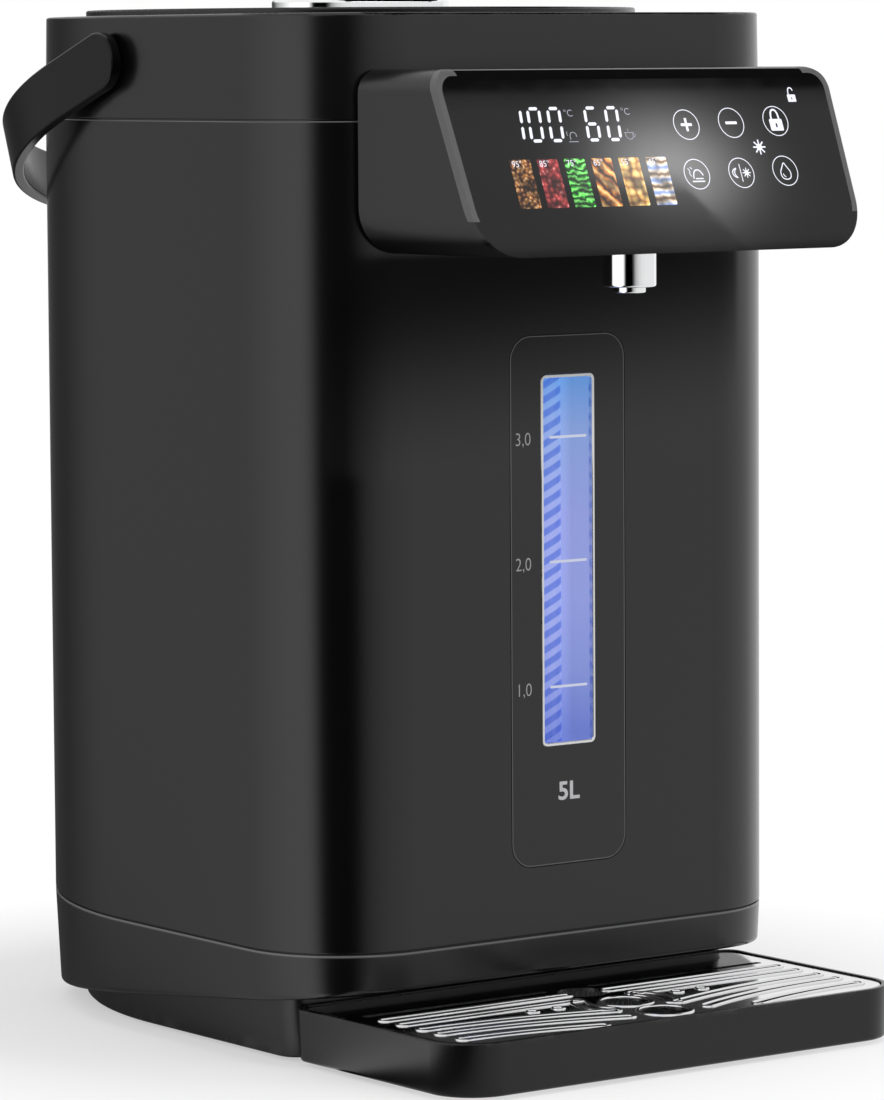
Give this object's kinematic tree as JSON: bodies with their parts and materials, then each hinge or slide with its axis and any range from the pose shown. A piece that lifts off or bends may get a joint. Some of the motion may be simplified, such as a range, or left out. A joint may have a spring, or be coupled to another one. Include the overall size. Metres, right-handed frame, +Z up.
{
  "type": "electric thermo pot",
  "caption": "Electric thermo pot in satin black: heated steel tank, sloped touch panel with a chrome spout, lit water gauge, carrying handle, hinged lid and pull-out drip tray.",
  "frame": {"origin": "on the table, under the axis of the round tank and lid", "axes": "+Z up; the front with the spout and the tray faces -Y; +X is to the right seen from the front"},
  "size_m": [0.226, 0.3289, 0.3628],
  "materials": {
    "satin_black": "satin moulded black plastic",
    "black_sheet": "satin dark coated sheet steel",
    "grey_satin": "satin grey plastic",
    "black_glass": "dark glass over a display",
    "clear": "clear",
    "steel": "bright stainless steel",
    "chrome": "polished",
    "rubber": "matte black rubber",
    "silicone": "milky silicone",
    "foil": "foil-faced felt",
    "aluminium": "cast",
    "white_plastic": "white plastic",
    "circuit": "green circuit board",
    "brass": "plated"
  },
  "bodies": {
    "body": {"backlight_board": "circuit", "band_heater": "aluminium", "base_screws": "steel", "base_skirt": "satin_black", "board_parts": "rubber", "body_jacket": "black_sheet", "display_board": "circuit", "display_screen": "white_plastic", "gauge_hose": "silicone", "head_bezel": "grey_satin", "head_housing": "satin_black", "heater_plate": "aluminium", "hinge_cover": "satin_black", "inlet_pins": "brass", "inner_tank": "steel", "insulation_wrap": "foil", "lid_hinge_pin": "steel", "light_box": "grey_satin", "lower_shell": "satin_black", "mains_inlet": "satin_black", "motor_bracket": "steel", "mouth_seal": "silicone", "power_board": "circuit", "pump_cover": "grey_satin", "pump_housing": "grey_satin", "pump_motor": "steel", "riser_hose": "silicone", "rubber_feet": "rubber", "scale_card": "white_plastic", "sight_tube": "clear", "spout_nozzle": "chrome", "spout_sleeve": "chrome", "tank_outlet_hose": "silicone", "thermal_fuse": "rubber", "top_collar": "satin_black", "touch_glass": "black_glass", "tube_cap": "rubber", "water_thermostat": "aluminium", "window_frame": "chrome", "window_lens": "clear", "window_plate": "satin_black"},
    "lid": {"lid_cover": "satin_black", "lid_liner": "steel", "lid_gasket": "silicone", "lid_screws": "steel", "steam_cap": "satin_black", "lever_pin": "steel", "lever_spring": "steel"},
    "lever": {"lid_lever": "chrome"},
    "bolt": {"latch_bolt": "grey_satin"},
    "handle": {"carry_handle": "satin_black", "handle_pivots": "steel"},
    "rotor": {"motor_shaft": "steel", "drive_magnet": "rubber"},
    "impeller": {"pump_impeller": "grey_satin"},
    "tray": {"drip_tray": "satin_black", "drip_basin": "steel"},
    "grille": {"drip_grille": "steel"}
  },
  "joints": [
    {"name": "handle_swing", "type": "hinge", "parent": "body", "child": "handle", "pos_m": [0, 0.001, 0.341], "axis": [1, 0, 0], "range_deg": [0, 125]},
    {"name": "lid_hinge", "type": "hinge", "parent": "body", "child": "lid", "pos_m": [0, 0.075, 0.3548], "axis": [-1, 0, 0], "range_deg": [0, 85]},
    {"name": "lever_tilt", "type": "hinge", "parent": "lid", "child": "lever", "pos_m": [0, -0.014, 0.3552], "axis": [1, 0, 0], "range_deg": [0, 30], "stiffness_Nm_per_rad": 0.05},
    {"name": "bolt_slide", "type": "slide", "parent": "lid", "child": "bolt", "axis": [0, 1, 0], "range_m": [0, 0.0047]},
    {"name": "motor_spin", "type": "hinge", "parent": "body", "child": "rotor", "pos_m": [-0.03, -0.022, 0.037], "axis": [0, 0, 1], "continuous": true},
    {"name": "impeller_spin", "type": "hinge", "parent": "body", "child": "impeller", "pos_m": [-0.03, -0.022, 0.0485], "axis": [0, 0, 1], "continuous": true},
    {"name": "tray_slide", "type": "slide", "parent": "body", "child": "tray", "axis": [0, -1, 0], "range_m": [0, 0.11]},
    {"name": "grille_lift", "type": "slide", "parent": "tray", "child": "grille", "axis": [0, 0, 1], "range_m": [0, 0.0035]}
  ],
  "couplings": [
    {"joint": "bolt_slide", "follows": "lever_tilt", "m_per_rad": 0.0086},
    {"joint": "impeller_spin", "follows": "motor_spin", "ratio": 1}
  ]
}
